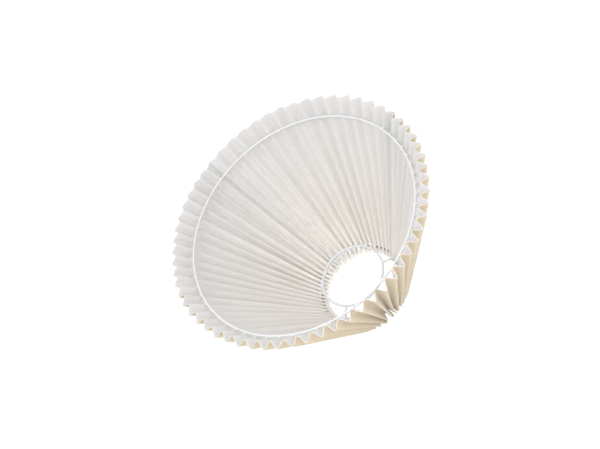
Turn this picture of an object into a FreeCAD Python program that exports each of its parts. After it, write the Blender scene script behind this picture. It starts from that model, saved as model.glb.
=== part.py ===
# A cone-shaped lamp shade of pleated sheet on a wire frame.
#
# The shade stands on its wide end, with +Z along its axis and the origin at the middle of the wide
# end. The top ring runs through slots in every pleat face. Three bent wire arms drop from it and
# carry the fitter ring, which sits on a lamp holder. The wide ring lies inside the pleats and is
# glued to the inner folds. Four strips of pleated sheet make the cone. Each strip laps the next by
# one pleat face, with double-sided tape between the two layers.
import FreeCAD, Part

import math
import os

from FreeCAD import Vector

# Driving dimensions, in millimetres and degrees.
WIRE_DIAMETER = 2.2
WIDE_RING_RADIUS = 125.0  # to the middle of the wire
WIDE_RING_HEIGHT = 16.2
TOP_RING_HEIGHT = 162.5
TOP_RING_SETBACK = 3.4  # outwards from the inner folds to the middle of the wire
FITTER_BORE_RADIUS = 35.0
FITTER_HEIGHT = 140.4
ARM_BEND_RADIUS = 6.0
ARM_END_RISE = 1.6  # an arm ends this far above the middle of the top ring's wire
ARM_WELD_DEPTH = 0.3  # how far an arm's side is let into the top ring

CONE_HALF_ANGLE = 29.0  # between the axis and the folds
STRIP_WIDTH = 196.0  # along the folds
PLEAT_FACE_WIDTH = 11.4  # from a fold to the next one
SHEET_THICKNESS = 0.4
GLUE_GAP = 1.4  # between the wide ring's wire and the inner folds
SLOT_WIDTH = 2.6  # across the folds
SLOT_WIDE_REACH = 1.3  # along the folds, from the middle of the top ring's wire
SLOT_NARROW_REACH = 4.7

# Each strip: the azimuth of the inner fold before the lap where it starts, and its number of pleats
# up to the next such fold. The strips are stretched round the rings by different amounts.
STRIPS = [(-8.7, 15), (89.5, 17), (182.1, 15), (272.9, 14)]

# The arms rise in three of the valleys between inner folds: a strip's index and an outer fold's
# number in it.
ARM_VALLEYS = [(0, 2), (1, 10), (2, 16)]

TAPE_THICKNESS = 0.13
TAPE_WIDE_END_MARGIN = 4.0
TAPE_NARROW_END_MARGIN = 18.0  # short of the slots
LAP_TRIM = 1.0  # a strip's raw edge and the tape stop this far short of the neighbour's fold
FACE_CLEARANCE = 0.01  # between surfaces that are pressed together
GLUE_RADIUS = 1.3

# Sizes that follow from them.
WIRE_RADIUS = WIRE_DIAMETER / 2
HALF_SHEET = SHEET_THICKNESS / 2
FITTER_RADIUS = FITTER_BORE_RADIUS + WIRE_RADIUS
CONE_SLOPE = math.tan(math.radians(CONE_HALF_ANGLE))
COS_CONE = math.cos(math.radians(CONE_HALF_ANGLE))
SIN_CONE = math.sin(math.radians(CONE_HALF_ANGLE))
WIDE_FOLD_HEIGHT = HALF_SHEET * SIN_CONE
FOLD_TO_WIRE = HALF_SHEET / COS_CONE + WIRE_RADIUS
FOLD_RADIUS_AT_WIDE_RING = WIDE_RING_RADIUS + FOLD_TO_WIRE + GLUE_GAP
WIDE_FOLD_RADIUS = FOLD_RADIUS_AT_WIDE_RING + (WIDE_RING_HEIGHT - WIDE_FOLD_HEIGHT) * CONE_SLOPE
FOLD_RADIUS_AT_TOP_RING = WIDE_FOLD_RADIUS - (TOP_RING_HEIGHT - WIDE_FOLD_HEIGHT) * CONE_SLOPE
TOP_RING_RADIUS = FOLD_RADIUS_AT_TOP_RING + TOP_RING_SETBACK
ARM_RADIUS = TOP_RING_RADIUS - WIRE_DIAMETER + ARM_WELD_DEPTH

# The stations along a fold, as distances from the wide end. The faces' twist is followed exactly
# at each station, and the lap tape runs from the second one to the last but one.
TAPE_LENGTH = STRIP_WIDTH - TAPE_WIDE_END_MARGIN - TAPE_NARROW_END_MARGIN
TAPE_STEPS = 6
STATIONS = [0.0]
STATIONS += [TAPE_WIDE_END_MARGIN + TAPE_LENGTH * step / TAPE_STEPS for step in range(TAPE_STEPS + 1)]
STATIONS += [STRIP_WIDTH]

LAP_OFFSET = SHEET_THICKNESS + TAPE_THICKNESS + 2 * FACE_CLEARANCE
FULL_TURN = 360.0


def polar(radius, azimuth, height):
    """The point at that radius, azimuth in degrees and height."""
    angle = math.radians(azimuth)
    return Vector(radius * math.cos(angle), radius * math.sin(angle), height)


def unit(vector):
    """A copy of the vector with a length of 1."""
    return vector / vector.Length


def export(name, shape):
    """Writes one sub-part as a STEP file and prints its size."""
    if not shape.isValid():
        raise ValueError(name + " is not a valid shape")
    shape.exportStep("parts/" + name + ".step")
    print(f"{name}: {len(shape.Solids)} solids, {shape.Volume:.1f} mm3")


# Wire frame


def wire_ring(radius, height):
    """A round wire bent into a level ring."""
    return Part.makeTorus(radius, WIRE_RADIUS, Vector(0, 0, height))


def fitter_arm(azimuth, fitter_ring, top_ring):
    """A wire that runs out from the fitter ring, bends upwards and ends inside the top ring."""
    start = polar(FITTER_RADIUS, azimuth, FITTER_HEIGHT)
    bend_start = polar(ARM_RADIUS - ARM_BEND_RADIUS, azimuth, FITTER_HEIGHT)
    corner_cut = ARM_BEND_RADIUS * (1 - math.cos(math.radians(45)))
    bend_middle = polar(ARM_RADIUS - corner_cut, azimuth, FITTER_HEIGHT + corner_cut)
    bend_end = polar(ARM_RADIUS, azimuth, FITTER_HEIGHT + ARM_BEND_RADIUS)
    end = polar(ARM_RADIUS, azimuth, TOP_RING_HEIGHT + ARM_END_RISE)
    path = Part.Wire(
        [
            Part.makeLine(start, bend_start),
            Part.Arc(bend_start, bend_middle, bend_end).toShape(),
            Part.makeLine(bend_end, end),
        ]
    )
    section = Part.Wire(Part.makeCircle(WIRE_RADIUS, start, bend_start - start))
    arm = path.makePipeShell([section], True, True)
    # The wire is coped to the two rings that it is welded to.
    pieces = arm.cut([fitter_ring, top_ring]).Solids
    return max(pieces, key=lambda piece: piece.Volume)


# Pleated sheet
#
# A line along a fold or an edge is a list of points, one for each station from the wide end to the
# narrow end. All four strips use the same stations.


def pleat_depth(fold_radius, half_pitch):
    """How far an outer fold stands off the inner folds' cone, for faces of the full width."""
    spread = 1 - math.cos(math.radians(half_pitch))
    slant = fold_radius * COS_CONE * spread
    return -slant + math.sqrt(slant**2 + PLEAT_FACE_WIDTH**2 - 2 * fold_radius**2 * spread)


def fold_line(is_outer, azimuth, half_pitch):
    """One fold, on the sheet's middle surface."""
    line = []
    for distance in STATIONS:
        radius = WIDE_FOLD_RADIUS - distance * SIN_CONE
        height = WIDE_FOLD_HEIGHT + distance * COS_CONE
        depth = pleat_depth(radius, half_pitch) if is_outer else 0.0
        line.append(polar(radius + depth * COS_CONE, azimuth, height + depth * SIN_CONE))
    return line


def strip_span(index):
    """The azimuth of the inner fold before a strip, its half pitch and its number of folds."""
    start, pleats = STRIPS[index]
    next_start = STRIPS[(index + 1) % len(STRIPS)][0]
    span = (next_start - start) % FULL_TURN
    return start, span / (2 * pleats), 2 * pleats


def strip_folds(index):
    """The lines of a strip's folds. The first one is outer, and they alternate."""
    start, half_pitch, count = strip_span(index)
    return [
        fold_line(number % 2 == 0, start + (number + 1) * half_pitch, half_pitch)
        for number in range(count)
    ]


def lap_lines(index):
    """The inner fold before the lap at a strip's start, and the outer fold after it."""
    return strip_folds(index - 1)[-1], strip_folds(index)[0]


def between(line_a, line_b, distance):
    """The line at that distance from line_a, on the way to line_b."""
    return [a + unit(b - a) * distance for a, b in zip(line_a, line_b)]


def inward_shift(line, line_a, line_b, distance):
    """A copy of a line, moved towards the shade's axis off the face between two folds."""
    shifted = []
    along = line_a[-1] - line_a[0]
    for point, a, b in zip(line, line_a, line_b):
        shifted.append(point + unit(along.cross(b - a)) * distance)
    return shifted


def lap_edges(before, after):
    """The lines on a lap's face that its two raw edges and the tape's two sides follow."""
    return between(before, after, LAP_TRIM), between(after, before, LAP_TRIM)


def strip_lines(index):
    """A strip's middle surface, as the lines across it from one raw edge to the other.

    The second line and the last but one lie flat in the strip's two end faces, beside the raw edge
    of the neighbouring strip. The lines between them are the folds. The start lies on the inner
    side of the last strip's end face, a lap offset away from it.
    """
    before, after = lap_lines(index)
    first_lines = [*lap_edges(before, after), after]
    first_lines = [inward_shift(line, before, after, LAP_OFFSET) for line in first_lines]
    last_lines = lap_edges(*lap_lines((index + 1) % len(STRIPS)))
    return [*first_lines, *strip_folds(index)[1:], *last_lines]


def triangle(a, b, c):
    """A flat three-cornered face."""
    return Part.Face(Part.makePolygon([a, b, c, a]))


def quad(a, b, c, d):
    """A four-cornered face, as two triangles because its corners needn't lie in a plane."""
    return [triangle(a, b, c), triangle(a, c, d)]


def band(line_a, line_b):
    """The slightly twisted faces between two long lines, from station to station."""
    faces = []
    for a, next_a, b, next_b in zip(line_a[:-1], line_a[1:], line_b[:-1], line_b[1:]):
        faces += quad(a, next_a, next_b, b)
    return faces


def solid_from(faces):
    """One closed solid from its faces."""
    shell = Part.makeShell(faces)
    shell.sewShape()
    solid = Part.makeSolid(shell)
    if solid.Volume < 0:
        solid.reverse()
    return solid


def flat_lines(line, neighbour):
    """The two lines on a face's inner and outer surfaces, at a line of its middle surface."""
    along = line[-1] - line[0]
    inner, outer = [], []
    for point, other in zip(line, neighbour):
        normal = unit((point - other).cross(along)) * HALF_SHEET
        if normal.dot(Vector(point.x, point.y, 0)) > 0:
            normal = -normal
        inner.append(point + normal)
        outer.append(point - normal)
    return inner, outer


def face_normal(across, along, away_from):
    """The normal of a face, on the side that faces away from a direction."""
    normal = unit(across.cross(along))
    return -normal if normal.dot(away_from) > 0 else normal


def fold_corner_lines(before, line, after):
    """The line in a fold's crease, and the three lines round its back."""
    along = line[-1] - line[0]
    crease, ridges = [], ([], [], [])
    for previous, point, following in zip(before, line, after):
        back = unit(previous - point)
        ahead = unit(following - point)
        middle = unit(back + ahead)
        half_angle = math.acos(middle.dot(ahead))
        crease.append(point + middle * (HALF_SHEET / math.sin(half_angle)))
        ridges[0].append(point + face_normal(back, along, middle) * HALF_SHEET)
        ridges[1].append(point - middle * HALF_SHEET)
        ridges[2].append(point + face_normal(ahead, along, middle) * HALF_SHEET)
    return crease, ridges


def pleated_strip(index):
    """A strip of pleated sheet as one closed solid, with a square cut at both ends of each fold."""
    lines = strip_lines(index)
    first_edge = flat_lines(lines[0], lines[1])
    last_edge = flat_lines(lines[-1], lines[-2])
    second = flat_lines(lines[1], lines[0])
    last_but_one = flat_lines(lines[-2], lines[-1])
    faces = band(*first_edge) + band(*last_edge)
    # Each face's inner and outer surfaces run from a pair of lines in starts to one in stops.
    starts, stops = [first_edge, second], [second]
    for number in range(2, len(lines) - 2):
        crease, ridges = fold_corner_lines(lines[number - 1], lines[number], lines[number + 1])
        for ridge_a, ridge_b in zip(ridges[:-1], ridges[1:]):
            faces += band(ridge_a, ridge_b)
            faces.append(triangle(ridge_a[0], ridge_b[0], crease[0]))
            faces.append(triangle(ridge_a[-1], ridge_b[-1], crease[-1]))
        is_outer = number % 2 == 0
        stops.append((crease, ridges[0]) if is_outer else (ridges[0], crease))
        starts.append((crease, ridges[2]) if is_outer else (ridges[2], crease))
    stops += [last_but_one, last_edge]
    starts.append(last_but_one)
    for (inner_a, outer_a), (inner_b, outer_b) in zip(starts, stops):
        faces += band(inner_a, inner_b) + band(outer_a, outer_b)
        faces += quad(inner_a[0], inner_b[0], outer_b[0], outer_a[0])
        faces += quad(inner_a[-1], inner_b[-1], outer_b[-1], outer_a[-1])
    return solid_from(faces)


def slot_cutter():
    """A ring round the top ring's wire, which cuts the same slot in every pleat face."""
    along = Vector(-SIN_CONE, 0, COS_CONE)
    outwards = Vector(COS_CONE, 0, SIN_CONE) * (SLOT_WIDTH / 2)
    middle = Vector(TOP_RING_RADIUS, 0, TOP_RING_HEIGHT)
    wide_end = middle - along * SLOT_WIDE_REACH
    narrow_end = middle + along * SLOT_NARROW_REACH
    corners = [
        wide_end - outwards,
        wide_end + outwards,
        narrow_end + outwards,
        narrow_end - outwards,
    ]
    profile = Part.Face(Part.makePolygon(corners + corners[:1]))
    return profile.revolve(Vector(0, 0, 0), Vector(0, 0, 1), FULL_TURN)


# Tape and glue


def lap_tape(index):
    """The double-sided tape between the two layers of the lap at a strip's start."""
    before, after = lap_lines(index)
    low = HALF_SHEET + FACE_CLEARANCE
    high = low + TAPE_THICKNESS
    sides = []
    for line in lap_edges(before, after):
        low_side, high_side = [inward_shift(line, before, after, level) for level in (low, high)]
        sides.append((low_side[1:-1], high_side[1:-1]))
    (low_a, high_a), (low_b, high_b) = sides
    faces = band(low_a, low_b) + band(high_a, high_b) + band(low_a, high_a) + band(low_b, high_b)
    faces += quad(low_a[0], low_b[0], high_b[0], high_a[0])
    faces += quad(low_a[-1], low_b[-1], high_b[-1], high_a[-1])
    return solid_from(faces)


def ring_glue():
    """A bead of glue between the wide ring and each inner fold, shaped by the wire and the fold."""
    wire_edge = WIDE_RING_RADIUS + WIRE_RADIUS
    height = WIDE_RING_HEIGHT
    bead = Part.makeSphere(GLUE_RADIUS, Vector(wire_edge + GLUE_GAP / 2, 0, height))
    wire = Part.makeTorus(WIDE_RING_RADIUS, WIRE_RADIUS + FACE_CLEARANCE, Vector(0, 0, height))
    outwards = Vector(COS_CONE, 0, SIN_CONE)
    fold_face = Vector(wire_edge + GLUE_GAP, 0, height) - outwards * FACE_CLEARANCE
    behind_fold = Part.makeCylinder(4 * GLUE_RADIUS, 4 * GLUE_RADIUS, fold_face, outwards)
    bead = bead.cut([wire, behind_fold])
    beads = []
    for index in range(len(STRIPS)):
        start, half_pitch, count = strip_span(index)
        for number in range(1, count, 2):
            copy = bead.copy()
            copy.rotate(Vector(0, 0, 0), Vector(0, 0, 1), start + (number + 1) * half_pitch)
            beads.append(copy)
    return Part.makeCompound(beads)


os.makedirs("parts", exist_ok=True)

wide_ring = wire_ring(WIDE_RING_RADIUS, WIDE_RING_HEIGHT)
top_ring = wire_ring(TOP_RING_RADIUS, TOP_RING_HEIGHT)
fitter_ring = wire_ring(FITTER_RADIUS, FITTER_HEIGHT)
export("wide_ring", wide_ring)
export("top_ring", top_ring)
export("fitter_ring", fitter_ring)
for arm_number, (strip_index, fold_number) in enumerate(ARM_VALLEYS, start=1):
    start, half_pitch, _ = strip_span(strip_index)
    arm = fitter_arm(start + (fold_number + 1) * half_pitch, fitter_ring, top_ring)
    export(f"fitter_arm_{arm_number}", arm)

slots = slot_cutter()
for strip_index in range(len(STRIPS)):
    export(f"pleated_strip_{strip_index + 1}", pleated_strip(strip_index).cut(slots))
    export(f"lap_tape_{strip_index + 1}", lap_tape(strip_index))

export("wide_ring_glue", ring_glue())
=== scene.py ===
import math
import random

import bmesh
import bpy
from mathutils import Matrix, Vector


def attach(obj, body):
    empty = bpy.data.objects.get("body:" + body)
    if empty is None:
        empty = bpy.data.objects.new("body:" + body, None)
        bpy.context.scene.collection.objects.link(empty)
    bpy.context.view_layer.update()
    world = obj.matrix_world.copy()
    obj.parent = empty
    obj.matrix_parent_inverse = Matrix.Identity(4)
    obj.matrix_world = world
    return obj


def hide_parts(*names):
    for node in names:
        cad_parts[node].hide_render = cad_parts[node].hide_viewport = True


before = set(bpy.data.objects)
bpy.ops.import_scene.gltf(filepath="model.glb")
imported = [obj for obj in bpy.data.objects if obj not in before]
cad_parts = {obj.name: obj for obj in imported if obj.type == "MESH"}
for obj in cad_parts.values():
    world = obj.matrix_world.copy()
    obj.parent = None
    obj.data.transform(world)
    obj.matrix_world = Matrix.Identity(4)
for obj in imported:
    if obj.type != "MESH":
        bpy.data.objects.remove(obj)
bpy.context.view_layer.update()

MM = 0.001
BODY = "root"

# The same sizes as in the CAD model, in metres
WIRE_RADIUS = 1.1 * MM
WIDE_RING_RADIUS = 125.0 * MM
WIDE_RING_HEIGHT = 16.2 * MM
TOP_RING_HEIGHT = 162.5 * MM
TOP_RING_SETBACK = 3.4 * MM
FITTER_RADIUS = 36.1 * MM
FITTER_HEIGHT = 140.4 * MM
ARM_BEND_RADIUS = 6.0 * MM
ARM_END_RISE = 1.6 * MM
ARM_WELD_DEPTH = 0.3 * MM
CONE_HALF_ANGLE = math.radians(29.0)
STRIP_WIDTH = 196.0 * MM
FACE_WIDTH = 11.4 * MM
HALF_SHEET = 0.2 * MM
LAP_OFFSET = 0.55 * MM
LAP_TRIM = 1.0 * MM
TAPE_THICKNESS = 0.13 * MM
TAPE_WIDE_END_MARGIN = 4.0 * MM
TAPE_NARROW_END_MARGIN = 18.0 * MM
GLUE_GAP = 1.4 * MM
SLOT_WIDTH = 2.6 * MM
SLOT_WIDE_REACH = 1.3 * MM
SLOT_NARROW_REACH = 4.7 * MM
# Each strip's start azimuth in degrees and number of pleats
STRIPS = [(-8.7, 15), (89.5, 17), (182.1, 15), (272.9, 14)]
# Each arm's strip, and the valley of that strip that it stands in
ARM_VALLEYS = [(0, 1), (1, 5), (2, 8)]

# Where each ring's two ends are butt-welded, in degrees
WIDE_RING_WELD = 40.0
TOP_RING_WELD = 75.0
FITTER_RING_WELD = 190.0
# Welds and arm ends. A rise or a share is of the wire's radius.
BUTT_WELD_REACH = 1.3 * MM
BUTT_WELD_RISE = 0.16
ARM_START_SHARE = 0.4
ARM_WELD_REACH = 1.6 * MM
ARM_WELD_RISE = 0.4
ARM_TIP_CHAMFER = 0.2 * MM
ARM_TIP_SHARE = 0.82
WELD_BEAD_SIZE = (0.75 * MM, 1.45 * MM, 1.25 * MM)

# How unevenly the sheet is pleated and threaded on, with the seeds of its random draws
FOLD_SEED = 11
FACE_SEED = 5
WIDE_TURN_SPREAD = 0.16  # degrees
NARROW_TURN_SPREAD = 0.4  # degrees
BOW_SPREAD = 0.35 * MM
NARROW_LIFT_SPREAD = 0.35 * MM
WIDE_LIFT_SPREAD = 0.5 * MM
HELD_FREEDOM = 0.15
FACE_BOW_SPREAD = 0.12 * MM
FACE_WAVE = 0.35 * MM
# For each lap: how far the upper layer opens at the wide and at the narrow end, and how far the
# lower layer's raw edge turns out at the narrow end
LAP_SPLAYS = [
    (0.3 * MM, 0.5 * MM, 0.3 * MM),
    (0.5 * MM, 0.3 * MM, 0.5 * MM),
    (0.4 * MM, 0.8 * MM, 0.8 * MM),
    (0.2 * MM, 0.5 * MM, 0.4 * MM),
]

COS_CONE = math.cos(CONE_HALF_ANGLE)
SIN_CONE = math.sin(CONE_HALF_ANGLE)
CONE_SLOPE = math.tan(CONE_HALF_ANGLE)
WIDE_FOLD_HEIGHT = HALF_SHEET * SIN_CONE
WIDE_FOLD_RADIUS = (
    WIDE_RING_RADIUS
    + HALF_SHEET / COS_CONE
    + WIRE_RADIUS
    + GLUE_GAP
    + (WIDE_RING_HEIGHT - WIDE_FOLD_HEIGHT) * CONE_SLOPE
)
TOP_RING_RADIUS = (
    WIDE_FOLD_RADIUS - (TOP_RING_HEIGHT - WIDE_FOLD_HEIGHT) * CONE_SLOPE + TOP_RING_SETBACK
)
ARM_RADIUS = TOP_RING_RADIUS - 2 * WIRE_RADIUS + ARM_WELD_DEPTH

# Places along a fold and across a face. The slots round the top ring lie between two of each.
WIDE_RING_PLACE = (WIDE_RING_HEIGHT - WIDE_FOLD_HEIGHT) / COS_CONE
TOP_RING_PLACE = (
    WIDE_FOLD_RADIUS - TOP_RING_RADIUS
) * SIN_CONE + (TOP_RING_HEIGHT - WIDE_FOLD_HEIGHT) * COS_CONE
SLOT_START = TOP_RING_PLACE - SLOT_WIDE_REACH
SLOT_STOP = TOP_RING_PLACE + SLOT_NARROW_REACH
STATIONS = [SLOT_START * step / 44 for step in range(45)]
STATIONS += [SLOT_START + (SLOT_STOP - SLOT_START) * step / 2 for step in (1, 2)]
STATIONS += [SLOT_STOP + (STRIP_WIDTH - SLOT_STOP) * step / 3 for step in (1, 2, 3)]
SLOT_STATIONS = (44, 46)
# How directly a face runs outwards beside the slots: the cosine of its angle to that way
FACE_SLANT = 0.977
SLOT_NEAR_SIDE = (TOP_RING_SETBACK * COS_CONE - SLOT_WIDTH / 2) / FACE_SLANT
SLOT_FAR_SIDE = (TOP_RING_SETBACK * COS_CONE + SLOT_WIDTH / 2) / FACE_SLANT
FACE_ROWS = [SLOT_NEAR_SIDE, SLOT_FAR_SIDE, 6.3 * MM, 8.3 * MM, 10.1 * MM]
FOLD_STEPS = 4
WIRE_SIDES = 20
WEAVE_PITCH = 0.42 * MM


def smooth_step(low, high, value):
    """0 below low, 1 above high and a smooth rise between them."""
    share = max(0.0, min(1.0, (value - low) / (high - low)))
    return share * share * (3 - 2 * share)


def polar(radius, azimuth, height):
    """The point at that radius, azimuth in degrees and height."""
    angle = math.radians(azimuth)
    return Vector((radius * math.cos(angle), radius * math.sin(angle), height))


def new_object(name, mesh, materials, replaced):
    """A shown object from a mesh, riding on the shade's one body."""
    piece = bpy.data.objects.new(name, mesh)
    bpy.context.scene.collection.objects.link(piece)
    for material in materials:
        mesh.materials.append(material)
    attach(piece, BODY)
    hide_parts(*replaced)
    return piece


# Material nodes. Places are in metres, so a noise's scale is in features per metre.


class Nodes:
    """A short way to build one material's nodes."""

    def __init__(self, name):
        self.material = bpy.data.materials.new(name)
        self.material.use_nodes = True
        self.tree = self.material.node_tree
        self.tree.nodes.clear()
        self.output = self.tree.nodes.new("ShaderNodeOutputMaterial")
        self.shader = self.tree.nodes.new("ShaderNodeBsdfPrincipled")
        self.link(self.shader.outputs[0], self.output.inputs[0])

    def link(self, source, target):
        self.tree.links.new(source, target)

    def add(self, kind, inputs=(), **settings):
        """A node with its settings, and its inputs as numbers or as other nodes' outputs."""
        node = self.tree.nodes.new(kind)
        for key, value in settings.items():
            setattr(node, key, value)
        for key, value in dict(inputs).items():
            if isinstance(value, bpy.types.NodeSocket):
                self.link(value, node.inputs[key])
            else:
                node.inputs[key].default_value = value
        return node

    def math(self, operation, *values):
        """The output of a Math node."""
        return self.add("ShaderNodeMath", enumerate(values), operation=operation).outputs[0]

    def noise(self, vector, scale, detail=2.0, roughness=0.5):
        """The value of a Noise texture."""
        inputs = {"Vector": vector, "Scale": scale, "Detail": detail, "Roughness": roughness}
        return self.add("ShaderNodeTexNoise", inputs).outputs[0]

    def stretched(self, vector, scale):
        """A coordinate, scaled along each axis."""
        return self.add("ShaderNodeMapping", {"Vector": vector, "Scale": scale}).outputs[0]

    def range(self, value, low, high, to_low, to_high):
        """A value moved from one range to another."""
        inputs = {
            "Value": value,
            "From Min": low,
            "From Max": high,
            "To Min": to_low,
            "To Max": to_high,
        }
        return self.add("ShaderNodeMapRange", inputs).outputs[0]

    def mix(self, factor, first, second):
        """The colour output of a Mix node."""
        node = self.tree.nodes.new("ShaderNodeMix")
        node.data_type = "RGBA"
        for index, value in (0, factor), (6, first), (7, second):
            if isinstance(value, bpy.types.NodeSocket):
                self.link(value, node.inputs[index])
            else:
                node.inputs[index].default_value = value
        return node.outputs[2]

    def bump(self, height, distance, strength=1.0, normal=None):
        """The output of a Bump node."""
        inputs = {"Height": height, "Distance": distance, "Strength": strength}
        if normal is not None:
            inputs["Normal"] = normal
        return self.add("ShaderNodeBump", inputs).outputs[0]

    def set(self, **sockets):
        """Sets the shader's sockets. An underscore in a name stands for a space."""
        for key, value in sockets.items():
            socket = self.shader.inputs[key.replace("_", " ")]
            if isinstance(value, bpy.types.NodeSocket):
                self.link(value, socket)
            else:
                socket.default_value = value


def colour(red, green, blue):
    """A linear colour from sRGB values of 0 to 255."""
    linear = []
    for value in red, green, blue:
        share = value / 255
        linear.append(share / 12.92 if share <= 0.04045 else ((share + 0.055) / 1.055) ** 2.4)
    return (*linear, 1.0)


def sheet_places(nodes):
    """Outputs for a sheet's point: in the shade, on the flat strip, and along and across the strip."""
    coordinates = nodes.add("ShaderNodeTexCoord")
    flat = coordinates.outputs["UV"]
    parts = nodes.add("ShaderNodeSeparateXYZ", {0: flat})
    return coordinates.outputs["Object"], flat, parts.outputs[0], parts.outputs[1]


def crease_share(nodes, u_position, reach):
    """1 on a fold and 0 further from it than reach, from the distance along the flat strip."""
    faces = nodes.math("DIVIDE", u_position, FACE_WIDTH)
    to_fold = nodes.math("PINGPONG", faces, 0.5)
    return nodes.range(to_fold, 0.0, reach / FACE_WIDTH, 1.0, 0.0)


def let_light_through(nodes):
    """Makes the sheet glow softly when light falls on its other side."""
    nodes.set(Subsurface_Weight=0.5, Subsurface_Radius=(1.0, 0.97, 0.93), Subsurface_Scale=2.5 * MM)


def backing_material(name, painted_lift):
    """The strip's inner face: a matt pale backing with a faint grain, painted darker at the wide rim
    and lighter deep inside.

    The last argument is how far its colour is painted towards white: painted light where the tape
    behind a face holds back the light coming through.
    """
    nodes = Nodes(name)
    place, flat, u_position, v_position = sheet_places(nodes)
    cloud = nodes.noise(place, 22.0, 3.0, 0.55)
    fibres = nodes.noise(nodes.stretched(flat, (2600.0, 240.0, 1.0)), 1.0, 3.0, 0.6)
    specks = nodes.noise(flat, 1900.0, 2.0, 0.6)
    # Painted light: the colour runs from darker and cooler at the wide rim to lighter and warmer
    # towards the narrow end, lifting the shade deep inside.
    rim_tone_painted_dim = nodes.mix(cloud, colour(211, 210, 210), colour(218, 217, 217))
    deep_tone_painted_lit = nodes.mix(cloud, colour(250, 245, 240), colour(254, 250, 246))
    tone = nodes.mix(nodes.range(v_position, 0.01, 0.16, 0.0, 1.0), rim_tone_painted_dim, deep_tone_painted_lit)
    fibre_tint = nodes.range(fibres, 0.3, 0.75, 0.0, 0.25)
    tone = nodes.mix(fibre_tint, tone, colour(226, 224, 221))
    crease = crease_share(nodes, u_position, 0.7 * MM)
    # Paler along the folds, in patches.
    paler_at_fold = nodes.math("MULTIPLY", crease, nodes.range(specks, 0.35, 0.65, 0.0, 0.1))
    tone = nodes.mix(paler_at_fold, tone, colour(247, 245, 241))
    # Painted light: whiter on faces with tape behind them, for the light the tape holds back.
    tone = nodes.mix(painted_lift, tone, colour(255, 255, 255))
    relief = nodes.bump(fibres, 0.05 * MM, 0.5)
    relief = nodes.bump(specks, 0.03 * MM, 0.4, relief)
    nodes.set(Base_Color=tone, Normal=relief, Sheen_Weight=0.1, Sheen_Roughness=0.5)
    nodes.set(Roughness=nodes.range(cloud, 0.3, 0.7, 0.55, 0.7), Specular_IOR_Level=0.3)
    let_light_through(nodes)
    return nodes.material


def weave_material():
    """The strip's outer face: a fine beige plain weave."""
    nodes = Nodes("beige_weave")
    place, flat, u_position, v_position = sheet_places(nodes)
    slubs = nodes.noise(nodes.stretched(flat, (2200.0, 90.0, 1.0)), 1.0, 3.0, 0.6)
    cross_slubs = nodes.noise(nodes.stretched(flat, (90.0, 2200.0, 1.0)), 1.0, 3.0, 0.6)
    warp, weft = [
        nodes.math("SINE", nodes.math("MULTIPLY", position, 2 * math.pi / WEAVE_PITCH))
        for position in (u_position, v_position)
    ]
    over = nodes.math("MULTIPLY", warp, weft)
    cloud = nodes.noise(place, 30.0, 3.0, 0.55)
    tone = nodes.mix(cloud, colour(179, 165, 140), colour(191, 178, 155))
    tone = nodes.mix(nodes.range(slubs, 0.4, 0.75, 0.0, 0.5), tone, colour(202, 184, 153))
    tone = nodes.mix(nodes.range(cross_slubs, 0.45, 0.8, 0.0, 0.4), tone, colour(240, 229, 207))
    tone = nodes.mix(nodes.range(over, -1.0, 0.2, 0.25, 0.0), tone, colour(178, 160, 130))
    crease = crease_share(nodes, u_position, 0.6 * MM)
    # Paler along the folds, in patches.
    paler_at_fold = nodes.math("MULTIPLY", crease, nodes.range(slubs, 0.35, 0.65, 0.15, 0.5))
    tone = nodes.mix(paler_at_fold, tone, colour(241, 232, 213))
    relief = nodes.bump(over, 0.06 * MM, 0.6)
    relief = nodes.bump(slubs, 0.08 * MM, 0.5, relief)
    nodes.set(Base_Color=tone, Normal=relief, Sheen_Weight=0.25, Sheen_Roughness=0.45)
    nodes.set(Roughness=nodes.range(slubs, 0.3, 0.7, 0.72, 0.88), Specular_IOR_Level=0.25)
    let_light_through(nodes)
    return nodes.material


def cut_edge_material():
    """The strip's cut edges, where the pale core shows."""
    nodes = Nodes("cut_edge")
    place = nodes.add("ShaderNodeTexCoord").outputs["Object"]
    grain = nodes.noise(place, 2400.0, 3.0, 0.6)
    tone = nodes.mix(grain, colour(222, 217, 208), colour(234, 231, 224))
    nodes.set(Base_Color=tone, Normal=nodes.bump(grain, 0.05 * MM, 0.5), Roughness=0.8)
    return nodes.material


def powder_coat_material():
    """White powder coat on wire: a fine orange-peel skin, and duller patches where it is handled."""
    nodes = Nodes("white_powder_coat")
    place = nodes.add("ShaderNodeTexCoord").outputs["Object"]
    peel = nodes.noise(place, 1500.0, 2.0, 0.5)
    patches = nodes.noise(place, 60.0, 3.0, 0.6)
    tone = nodes.mix(patches, colour(217, 219, 222), colour(225, 227, 230))
    scuffs = nodes.range(nodes.noise(place, 420.0, 4.0, 0.7), 0.66, 0.78, 0.0, 0.5)
    tone = nodes.mix(scuffs, tone, colour(206, 207, 209))
    nodes.set(Base_Color=tone, Normal=nodes.bump(peel, 0.05 * MM, 0.35))
    nodes.set(Roughness=nodes.range(patches, 0.3, 0.7, 0.3, 0.45), Specular_IOR_Level=0.5)
    return nodes.material


def glue_material():
    """Dried clear glue, slightly milky and uneven."""
    nodes = Nodes("dried_clear_glue")
    place = nodes.add("ShaderNodeTexCoord").outputs["Object"]
    cloud = nodes.noise(place, 900.0, 3.0, 0.6)
    tone = nodes.mix(cloud, colour(214, 211, 207), colour(224, 221, 217))
    nodes.set(Base_Color=tone, Normal=nodes.bump(cloud, 0.12 * MM, 0.5))
    nodes.set(Roughness=nodes.range(cloud, 0.3, 0.7, 0.2, 0.38), IOR=1.47)
    return nodes.material


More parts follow.
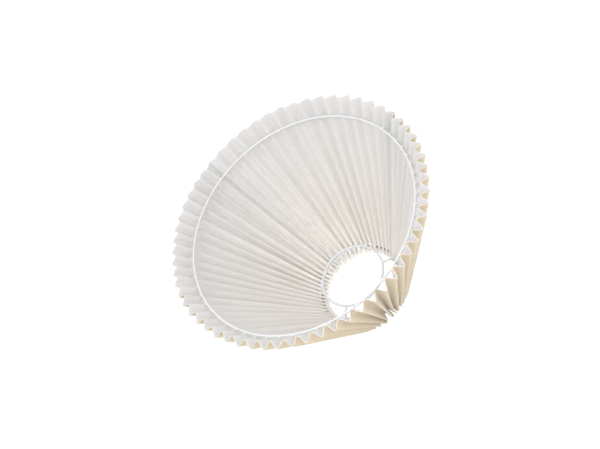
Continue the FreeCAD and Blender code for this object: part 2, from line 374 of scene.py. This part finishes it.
def tape_material():
    """Double-sided tape: a dull film with a crossed thread reinforcement."""
    nodes = Nodes("double_sided_tape")
    place = nodes.add("ShaderNodeTexCoord").outputs["Object"]
    threads = nodes.noise(nodes.stretched(place, (500.0, 500.0, 3000.0)), 1.0, 2.0, 0.5)
    tone = nodes.mix(threads, colour(236, 231, 220), colour(248, 245, 237))
    nodes.set(Base_Color=tone, Normal=nodes.bump(threads, 0.04 * MM, 0.5), Roughness=0.5)
    let_light_through(nodes)
    return nodes.material


# Wire frame


def tube(name, centres, radii, closed):
    """A mesh round a line of points, with its own radius at each point."""
    sides, count = WIRE_SIDES, len(centres)
    vertices, faces = [], []
    side_way = None
    for index, centre in enumerate(centres):
        if closed:
            ahead = centres[(index + 1) % count] - centres[index - 1]
        else:
            ahead = centres[min(index + 1, count - 1)] - centres[max(index - 1, 0)]
        ahead.normalize()
        if side_way is None or closed:
            side_way = ahead.cross(Vector((0, 0, 1)))
            if side_way.length < 0.01:
                side_way = ahead.cross(Vector((0, 1, 0)))
        side_way = (side_way - ahead * side_way.dot(ahead)).normalized()
        up_way = side_way.cross(ahead)
        for step in range(sides):
            angle = 2 * math.pi * step / sides
            offset = side_way * math.cos(angle) + up_way * math.sin(angle)
            vertices.append(centre + offset * radii[index])
    for index in range(count if closed else count - 1):
        following = (index + 1) % count
        for step in range(sides):
            beside = (step + 1) % sides
            faces.append(
                [
                    index * sides + step,
                    index * sides + beside,
                    following * sides + beside,
                    following * sides + step,
                ]
            )
    if not closed:
        faces.append(list(range(sides))[::-1])
        faces.append([(count - 1) * sides + step for step in range(sides)])
    mesh = bpy.data.meshes.new(name)
    mesh.from_pydata(vertices, [], faces)
    mesh.polygons.foreach_set("use_smooth", [True] * len(mesh.polygons))
    mesh.update()
    return mesh


def wire_ring(name, radius, height, weld_azimuth, node, material):
    """A wire ring with the low bead where its two ends are butt-welded."""
    count = 360
    centres, radii = [], []
    for index in range(count):
        azimuth = 360 * index / count
        away = (azimuth - weld_azimuth + 180) % 360 - 180
        bead = math.exp(-((math.radians(away) * radius / BUTT_WELD_REACH) ** 2))
        centres.append(polar(radius, azimuth, height))
        radii.append(WIRE_RADIUS * (1 + BUTT_WELD_RISE * bead))
    mesh = tube(name, centres, radii, True)
    return new_object(name, mesh, [material], [node])


def fitter_arm(name, azimuth, node, material):
    """A bent wire arm with its weld to the fitter ring and a weld bead beside the top ring."""
    points = []
    inner = FITTER_RADIUS + WIRE_RADIUS * ARM_START_SHARE
    bend_at = ARM_RADIUS - ARM_BEND_RADIUS
    for index in range(5):
        points.append(polar(inner + (bend_at - inner) * index / 4, azimuth, FITTER_HEIGHT))
    for index in range(1, 13):
        turn = math.radians(90) * index / 12
        radius = bend_at + ARM_BEND_RADIUS * math.sin(turn)
        points.append(polar(radius, azimuth, FITTER_HEIGHT + ARM_BEND_RADIUS * (1 - math.cos(turn))))
    top = TOP_RING_HEIGHT + ARM_END_RISE
    foot = FITTER_HEIGHT + ARM_BEND_RADIUS
    for index in range(1, 15):
        points.append(polar(ARM_RADIUS, azimuth, foot + (top - ARM_TIP_CHAMFER - foot) * index / 14))
    points.append(polar(ARM_RADIUS, azimuth, top))
    radii = []
    for point in points:
        to_weld = (point - points[0]).length
        weld_share = math.exp(-((to_weld / ARM_WELD_REACH) ** 2))
        radii.append(WIRE_RADIUS * (1 + ARM_WELD_RISE * weld_share))
    radii[-1] *= ARM_TIP_SHARE
    mesh = tube(name, points, radii, False)
    weld = bmesh.new()
    weld.from_mesh(mesh)
    place = Matrix.Translation(polar((ARM_RADIUS + TOP_RING_RADIUS) / 2, azimuth, TOP_RING_HEIGHT))
    shape = Matrix.Diagonal((*WELD_BEAD_SIZE, 1.0))
    turn = Matrix.Rotation(math.radians(azimuth), 4, "Z")
    made = bmesh.ops.create_icosphere(weld, subdivisions=3, radius=1.0, matrix=place @ turn @ shape)
    for vertex in made["verts"]:
        for face in vertex.link_faces:
            face.smooth = True
    weld.to_mesh(mesh)
    weld.free()
    return new_object(name, mesh, [material], [node])


# Pleated sheet


def inner_fold(azimuth, wander):
    """One inner fold, which bows a little between the rings and is free past them."""
    wide_turn, narrow_turn, bow, narrow_lift, wide_lift = wander
    line = []
    for distance in STATIONS:
        share = distance / STRIP_WIDTH
        radius = WIDE_FOLD_RADIUS - distance * SIN_CONE
        height = WIDE_FOLD_HEIGHT + distance * COS_CONE
        turn = wide_turn * (1 - share) + narrow_turn * share
        span = (distance - WIDE_RING_PLACE) * (TOP_RING_PLACE - distance)
        between_rings = max(0.0, span) * 4 / (TOP_RING_PLACE - WIDE_RING_PLACE) ** 2
        past_top = smooth_step(TOP_RING_PLACE, STRIP_WIDTH, distance)
        past_wide = 1 - smooth_step(0.0, WIDE_RING_PLACE, distance)
        lift = bow * between_rings + narrow_lift * past_top
        radius += lift * COS_CONE + wide_lift * past_wide
        line.append(polar(radius, azimuth + turn, height + lift * SIN_CONE))
    return line


def outer_fold(before, after):
    """The outer fold that two inner folds allow, when each face keeps its full width."""
    line = []
    along = (before[-1] - before[0]) + (after[-1] - after[0])
    for a, b in zip(before, after):
        across = b - a
        outwards = across.cross(along).normalized()
        middle = (a + b) / 2
        if outwards.dot(Vector((middle.x, middle.y, 0))) < 0:
            outwards.negate()
        depth = math.sqrt(FACE_WIDTH**2 - across.length_squared / 4)
        line.append(middle + outwards * depth)
    return line


def first_pleat(index):
    """How many pleats come before a strip."""
    return sum(pleats for _, pleats in STRIPS[:index])


def all_folds(seed):
    """Every inner and outer fold round the shade, in order. Outer fold n comes before inner fold n."""
    chance = random.Random(seed)
    # The two inner folds beside each arm are held in place.
    held = set()
    for strip_index, valley in ARM_VALLEYS:
        held |= {first_pleat(strip_index) + valley - 1, first_pleat(strip_index) + valley}
    inner = []
    for index, (start, pleats) in enumerate(STRIPS):
        span = (STRIPS[(index + 1) % len(STRIPS)][0] - start) % 360
        pitch = span / pleats
        for number in range(pleats):
            freedom = HELD_FREEDOM if len(inner) in held else 1.0
            wander = (
                chance.gauss(0, WIDE_TURN_SPREAD),
                chance.gauss(0, NARROW_TURN_SPREAD) * freedom,
                chance.gauss(0, BOW_SPREAD),
                chance.gauss(0, NARROW_LIFT_SPREAD) * freedom,
                chance.gauss(0, WIDE_LIFT_SPREAD),
            )
            inner.append(inner_fold(start + (number + 1) * pitch, wander))
    outer = [outer_fold(inner[index - 1], inner[index]) for index in range(len(inner))]
    return inner, outer


def between(line_a, line_b, distance):
    """The line at that distance from line_a, on the way to line_b."""
    return [a + (b - a).normalized() * distance for a, b in zip(line_a, line_b)]


def inward_shift(line, line_a, line_b, distances):
    """A copy of a line, moved towards the shade's axis off the face between two folds."""
    along = line_a[-1] - line_a[0]
    moved = []
    for point, a, b, distance in zip(line, line_a, line_b, distances):
        moved.append(point + along.cross(b - a).normalized() * distance)
    return moved


def splay(amount_wide, amount_narrow, base):
    """How far a lap's free layer stands off, from station to station."""
    distances = []
    for distance in STATIONS:
        at_narrow = smooth_step(SLOT_STOP, STRIP_WIDTH, distance)
        at_wide = 1 - smooth_step(0.0, WIDE_RING_PLACE, distance)
        distances.append(base + amount_narrow * at_narrow + amount_wide * at_wide)
    return distances


def strip_lines(index, inner, outer):
    """A strip's middle surface: its raw start edge, its folds and its raw end edge."""
    first = first_pleat(index)
    count = STRIPS[index][1]
    before, after = inner[first - 1], outer[first]
    open_wide, open_narrow, _ = LAP_SPLAYS[index]
    start_off = splay(open_wide, open_narrow, LAP_OFFSET)
    lines = [inward_shift(between(before, after, LAP_TRIM), before, after, start_off)]
    for number in range(first, first + count):
        lines += [outer[number], inner[number]]
    lines[1] = inward_shift(after, before, after, [LAP_OFFSET] * len(STATIONS))
    following = (first + count) % len(inner)
    next_before, next_after = inner[following - 1], outer[following]
    tail = LAP_SPLAYS[(index + 1) % len(STRIPS)][2]
    raw_end = between(next_after, next_before, LAP_TRIM)
    lines.append(inward_shift(raw_end, next_before, next_after, splay(0.0, -tail, 0.0)))
    return lines


def local_way(line, station):
    """The direction of a line at one of its points."""
    return (line[min(station + 1, len(line) - 1)] - line[max(station - 1, 0)]).normalized()


def fold_rows(before, line, after, is_outer):
    """The rows of points round a fold: the inner side's and the outer side's, as two lists."""
    crease, backs = [], [[] for _ in range(FOLD_STEPS + 1)]
    for station, point in enumerate(line):
        along = local_way(line, station)
        back = before[station] - point
        ahead = after[station] - point
        back = (back - along * back.dot(along)).normalized()
        ahead = (ahead - along * ahead.dot(along)).normalized()
        middle = (back + ahead).normalized()
        sine = max(0.1, math.sqrt(max(0.0, 1 - middle.dot(ahead) ** 2)))
        crease.append(point + middle * (HALF_SHEET / sine))
        back_normal = along.cross(back)
        if back_normal.dot(middle) > 0:
            back_normal.negate()
        swing = (-middle - back_normal * -middle.dot(back_normal)).normalized()
        half_turn = math.acos(max(-1.0, min(1.0, -middle.dot(back_normal))))
        for step in range(FOLD_STEPS + 1):
            angle = 2 * half_turn * step / FOLD_STEPS
            way = back_normal * math.cos(angle) + swing * math.sin(angle)
            backs[step].append(point + way * HALF_SHEET)
    return ([crease], backs) if is_outer else (backs, [crease])


def face_rows(line_a, line_b, share, bow, wave):
    """The inner and outer points of a row across a face that bows, and bends into its two folds."""
    inside, outside = [], []
    for station, (a, b) in enumerate(zip(line_a, line_b)):
        along = local_way(line_a, station).lerp(local_way(line_b, station), share)
        inwards = along.cross(b - a).normalized()
        level = bow * math.sin(math.pi * share)
        level *= 0.6 + 0.4 * math.sin(math.pi * STATIONS[station] / STRIP_WIDTH)
        level += wave * math.sin(2 * math.pi * share)
        middle = a.lerp(b, share) + inwards * level
        inside.append(middle + inwards * HALF_SHEET)
        outside.append(middle - inwards * HALF_SHEET)
    return inside, outside


# A strip's materials, in order
BACKING, WEAVE, CUT_EDGE, BACKING_ON_TAPE = range(4)


class StripMesh:
    """A strip's points and faces, gathered in rows of points that run along the folds."""

    def __init__(self):
        self.points, self.flat, self.faces, self.slots = [], [], [], []
        self.sharp_rows = set()
        self.inner_slot = BACKING

    def add_row(self, points, u_position):
        """Adds a row and returns the number of its first point."""
        self.points.extend(points)
        self.flat.extend((u_position, distance) for distance in STATIONS)
        return len(self.points) - len(points)

    def add_face(self, slot, *corners):
        self.faces.append(corners)
        self.slots.append(slot)

    def join(self, row_a, row_b, slot, flip, has_slot=False):
        """The faces between two rows."""
        for near in range(len(STATIONS) - 1):
            if has_slot and SLOT_STATIONS[0] <= near < SLOT_STATIONS[1]:
                continue
            face = [row_a + near, row_b + near, row_b + near + 1, row_a + near + 1]
            self.add_face(slot, *(face[::-1] if flip else face))

    def join_pairs(self, pair_a, pair_b, has_slot):
        """The sheet between two pairs of an inner and an outer row, with its two cut ends."""
        (in_a, out_a), (in_b, out_b) = pair_a, pair_b
        self.join(in_a, in_b, self.inner_slot, True, has_slot)
        self.join(out_a, out_b, WEAVE, False, has_slot)
        last = len(STATIONS) - 1
        self.add_face(CUT_EDGE, in_a, in_b, out_b, out_a)
        self.add_face(CUT_EDGE, in_a + last, out_a + last, out_b + last, in_b + last)
        if has_slot:
            start, stop = SLOT_STATIONS
            for near in range(start, stop):
                self.add_face(CUT_EDGE, in_a + near, in_a + near + 1, out_a + near + 1, out_a + near)
                self.add_face(CUT_EDGE, in_b + near + 1, in_b + near, out_b + near, out_b + near + 1)
            self.add_face(CUT_EDGE, in_b + start, in_a + start, out_a + start, out_b + start)
            self.add_face(CUT_EDGE, in_a + stop, in_b + stop, out_b + stop, out_a + stop)

    def add_fold(self, inner_rows, outer_rows):
        """The faces round a fold, with its two cut ends."""
        for rows, slot, flip in (inner_rows, BACKING, True), (outer_rows, WEAVE, False):
            for a, b in zip(rows[:-1], rows[1:]):
                self.join(a, b, slot, flip)
        is_outer = len(outer_rows) > 1
        fan, hub = (outer_rows, inner_rows[0]) if is_outer else (inner_rows, outer_rows[0])
        self.sharp_rows |= {fan[0], fan[-1], hub}
        last = len(STATIONS) - 1
        for a, b in zip(fan[:-1], fan[1:]):
            wide, narrow = [hub, b, a], [hub + last, a + last, b + last]
            if not is_outer:
                wide.reverse()
                narrow.reverse()
            self.add_face(CUT_EDGE, *wide)
            self.add_face(CUT_EDGE, *narrow)

    def finish(self, name):
        """The mesh, with its flat pattern as a UV map."""
        mesh = bpy.data.meshes.new(name)
        mesh.from_pydata(self.points, [], self.faces)
        mesh.polygons.foreach_set("material_index", self.slots)
        mesh.polygons.foreach_set("use_smooth", [slot != CUT_EDGE for slot in self.slots])
        for edge in mesh.edges:
            row_a, row_b = [vertex // len(STATIONS) for vertex in edge.vertices]
            if row_a == row_b and row_a * len(STATIONS) in self.sharp_rows:
                edge.use_edge_sharp = True
        layer = mesh.uv_layers.new(name="flat_strip")
        for loop in mesh.loops:
            layer.data[loop.index].uv = self.flat[loop.vertex_index]
        mesh.update()
        return mesh


def pleated_strip(index, lines, materials, chance):
    """A strip of pleated sheet with its thickness, crisp folds, bowed faces and ring slots."""
    # Each line's distance from the inner fold beside it.
    places = [0.0 if number % 2 == 0 else FACE_WIDTH for number in range(len(lines))]
    places[0] = LAP_TRIM
    places[-1] = FACE_WIDTH - LAP_TRIM
    strip = StripMesh()
    u_position = 0.0
    last_place = None
    edge = face_rows(lines[0], lines[1], 0.0, 0.0, 0.0)
    last_pair = [strip.add_row(points, u_position) for points in edge]
    strip.join(*last_pair, CUT_EDGE, False)
    for number in range(1, len(lines)):
        line_a, line_b = lines[number - 1], lines[number]
        low, high = places[number - 1], places[number]
        width = abs(high - low)
        is_taped = number in (1, len(lines) - 1)
        strip.inner_slot = BACKING_ON_TAPE if number == 1 else BACKING
        bow = 0.0 if is_taped else chance.gauss(0, FACE_BOW_SPREAD)
        wave = 0.0 if is_taped else math.copysign(FACE_WAVE, high - low)
        rows = FACE_ROWS if high > low else FACE_ROWS[::-1]
        for place in rows:
            share = (place - low) / (high - low)
            points = face_rows(line_a, line_b, share, bow, wave)
            pair = [strip.add_row(side, u_position + width * share) for side in points]
            slot_edges = {SLOT_NEAR_SIDE, SLOT_FAR_SIDE}
            strip.join_pairs(last_pair, pair, place in slot_edges and last_place in slot_edges)
            last_pair, last_place = pair, place
        u_position += width
        if number < len(lines) - 1:
            sides = fold_rows(line_a, line_b, lines[number + 1], number % 2 == 1)
            inner_rows, outer_rows = [
                [strip.add_row(points, u_position) for points in side] for side in sides
            ]
            strip.join_pairs(last_pair, (inner_rows[0], outer_rows[0]), False)
            strip.add_fold(inner_rows, outer_rows)
            last_pair, last_place = (inner_rows[-1], outer_rows[-1]), None
        else:
            edge = face_rows(line_a, line_b, 1.0, 0.0, 0.0)
            end_pair = [strip.add_row(points, u_position) for points in edge]
            strip.join_pairs(last_pair, end_pair, False)
            strip.join(*end_pair, CUT_EDGE, True)
    name = f"pleated_sheet_{index + 1}"
    node = f"pleated_strip_{index + 1}"
    piece = new_object(name, strip.finish(name), materials, [node])
    return piece


def lap_tape(index, inner, outer, material):
    """The tape between the two layers of the lap at a strip's start, which follows its folds."""
    first = first_pleat(index)
    before, after = inner[first - 1], outer[first]
    sides = [between(before, after, LAP_TRIM), between(after, before, LAP_TRIM)]
    levels = [(LAP_OFFSET - TAPE_THICKNESS) / 2, (LAP_OFFSET + TAPE_THICKNESS) / 2]
    low_lines, high_lines = [
        [inward_shift(side, before, after, [level] * len(STATIONS)) for side in sides]
        for level in levels
    ]
    tape = bmesh.new()
    last_loop = None
    for station, distance in enumerate(STATIONS):
        if not TAPE_WIDE_END_MARGIN < distance < STRIP_WIDTH - TAPE_NARROW_END_MARGIN:
            continue
        loop = [tape.verts.new(line[station]) for line in low_lines + high_lines[::-1]]
        if last_loop is None:
            tape.faces.new(loop)
        else:
            for corner in range(4):
                beside = (corner + 1) % 4
                tape.faces.new([last_loop[corner], last_loop[beside], loop[beside], loop[corner]])
        last_loop = loop
    tape.faces.new(last_loop)
    bmesh.ops.recalc_face_normals(tape, faces=tape.faces)
    name = f"lap_tape_strip_{index + 1}"
    mesh = bpy.data.meshes.new(name)
    tape.to_mesh(mesh)
    tape.free()
    return new_object(name, mesh, [material], [f"lap_tape_{index + 1}"])


# The object

wire = powder_coat_material()
wire_ring("wide_ring_wire", WIDE_RING_RADIUS, WIDE_RING_HEIGHT, WIDE_RING_WELD, "wide_ring", wire)
wire_ring("top_ring_wire", TOP_RING_RADIUS, TOP_RING_HEIGHT, TOP_RING_WELD, "top_ring", wire)
wire_ring("fitter_ring_wire", FITTER_RADIUS, FITTER_HEIGHT, FITTER_RING_WELD, "fitter_ring", wire)
for arm_number, (arm_strip, valley) in enumerate(ARM_VALLEYS, start=1):
    strip_start, strip_pleats = STRIPS[arm_strip]
    next_start = STRIPS[(arm_strip + 1) % len(STRIPS)][0]
    pitch = (next_start - strip_start) % 360 / strip_pleats
    arm_azimuth = strip_start + (valley + 0.5) * pitch
    fitter_arm(f"fitter_arm_wire_{arm_number}", arm_azimuth, f"fitter_arm_{arm_number}", wire)

sheet_materials = [
    backing_material("pale_backing", painted_lift=0.0),
    weave_material(),
    cut_edge_material(),
    backing_material("pale_backing_on_tape", painted_lift=0.35),
]
inner_folds, outer_folds = all_folds(FOLD_SEED)
face_chance = random.Random(FACE_SEED)
tape_film = tape_material()
for strip_index in range(len(STRIPS)):
    strip = strip_lines(strip_index, inner_folds, outer_folds)
    pleated_strip(strip_index, strip, sheet_materials, face_chance)
    lap_tape(strip_index, inner_folds, outer_folds, tape_film)

glue_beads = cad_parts["wide_ring_glue"]
glue_beads.data.materials.clear()
glue_beads.data.materials.append(glue_material())

# Floor, light and camera


def floor_material():
    """A pale matt floor that is only there from above."""
    nodes = Nodes("pale_floor")
    place = nodes.add("ShaderNodeTexCoord").outputs["Object"]
    cloud = nodes.noise(place, 6.0, 3.0, 0.5)
    nodes.set(Base_Color=nodes.mix(cloud, (0.80, 0.80, 0.79, 1), (0.84, 0.84, 0.83, 1)), Roughness=0.9)
    clear = nodes.tree.nodes.new("ShaderNodeBsdfTransparent")
    side = nodes.tree.nodes.new("ShaderNodeNewGeometry")
    blend = nodes.tree.nodes.new("ShaderNodeMixShader")
    nodes.link(side.outputs["Backfacing"], blend.inputs[0])
    nodes.link(nodes.shader.outputs[0], blend.inputs[1])
    nodes.link(clear.outputs[0], blend.inputs[2])
    nodes.link(blend.outputs[0], nodes.output.inputs[0])
    return nodes.material


HALF_FLOOR = 4.0
FLOOR_HEIGHT = -0.3 * MM
floor_mesh = bpy.data.meshes.new("floor")
ends = (-HALF_FLOOR, HALF_FLOOR)
floor_corners = [(x, y, FLOOR_HEIGHT) for y in ends for x in ends]
floor_mesh.from_pydata(floor_corners, [], [[0, 1, 3, 2]])
floor = bpy.data.objects.new("floor", floor_mesh)
floor_mesh.materials.append(floor_material())
bpy.context.scene.collection.objects.link(floor)
floor.visible_shadow = False
floor.visible_diffuse = False
floor.visible_glossy = False
floor.visible_transmission = False

world = bpy.data.worlds.new("studio")
world.use_nodes = True
world.node_tree.nodes["Background"].inputs[0].default_value = (1.0, 1.0, 1.0, 1.0)
world.node_tree.nodes["Background"].inputs[1].default_value = 1.05
bpy.context.scene.world = world
bpy.context.scene.view_settings.view_transform = "Standard"


def place_light(name, lamp, location, target, power, tint):
    """A light that faces a point and isn't seen itself."""
    lamp.energy = power
    lamp.color = tint
    holder = bpy.data.objects.new(name, lamp)
    holder.location = location
    way = Vector(target) - Vector(location)
    holder.rotation_euler = way.to_track_quat("-Z", "Y").to_euler()
    holder.visible_camera = False
    bpy.context.scene.collection.objects.link(holder)


def area_light(name, size, *settings):
    """A square light of that size, with place_light's settings."""
    lamp = bpy.data.lights.new(name, "AREA")
    lamp.size = size
    place_light(name, lamp, *settings)


SHADE_MIDDLE = (0, 0, 0.08)
# Each light's name, size, place, target, power and tint
area_light("soft_key", 0.3, (-0.24, -0.52, -1.25), SHADE_MIDDLE, 4.2, (1.0, 1.0, 1.0))
area_light("soft_fill", 0.5, (-0.89, 0.5, -0.75), SHADE_MIDDLE, 1.1, (1.0, 0.99, 0.98))
area_light("soft_side", 0.6, (-1.15, -0.08, 0.6), SHADE_MIDDLE, 5.0, (1.0, 1.0, 1.0))
area_light("soft_back", 1.2, (0.95, 0.07, 1.1), SHADE_MIDDLE, 0.8, (1.0, 0.99, 0.98))
# A soft spot into the deep end of the shade
spot = bpy.data.lights.new("inner_fill", "SPOT")
spot.spot_size = math.radians(15)
spot.spot_blend = 1.0
spot.shadow_soft_size = 0.12
place_light("inner_fill", spot, (-0.72, -0.12, -0.9), (0.0, 0.01, 0.15), 18.0, (1.0, 0.98, 0.95))

# The camera looks up into the wide end from one side, turned about its own line of sight.
CAMERA_PLACE = (-0.74829, -0.06085, -0.83353)
CAMERA_VIEW = Vector((0.6584, 0.0518, 0.7509))
CAMERA_RIGHT = Vector((-0.5796, 0.6713, 0.4619))
camera_data = bpy.data.cameras.new("camera")
camera_data.lens = 67.8
camera_data.sensor_width = 36.0
camera_data.clip_start = 0.02
camera = bpy.data.objects.new("camera", camera_data)
right = CAMERA_RIGHT.normalized()
back = (right * CAMERA_VIEW.dot(right) - CAMERA_VIEW).normalized()
turn = Matrix((right, back.cross(right), back)).transposed()
camera.matrix_world = Matrix.Translation(CAMERA_PLACE) @ turn.to_4x4()
bpy.context.scene.collection.objects.link(camera)
bpy.context.scene.camera = camera
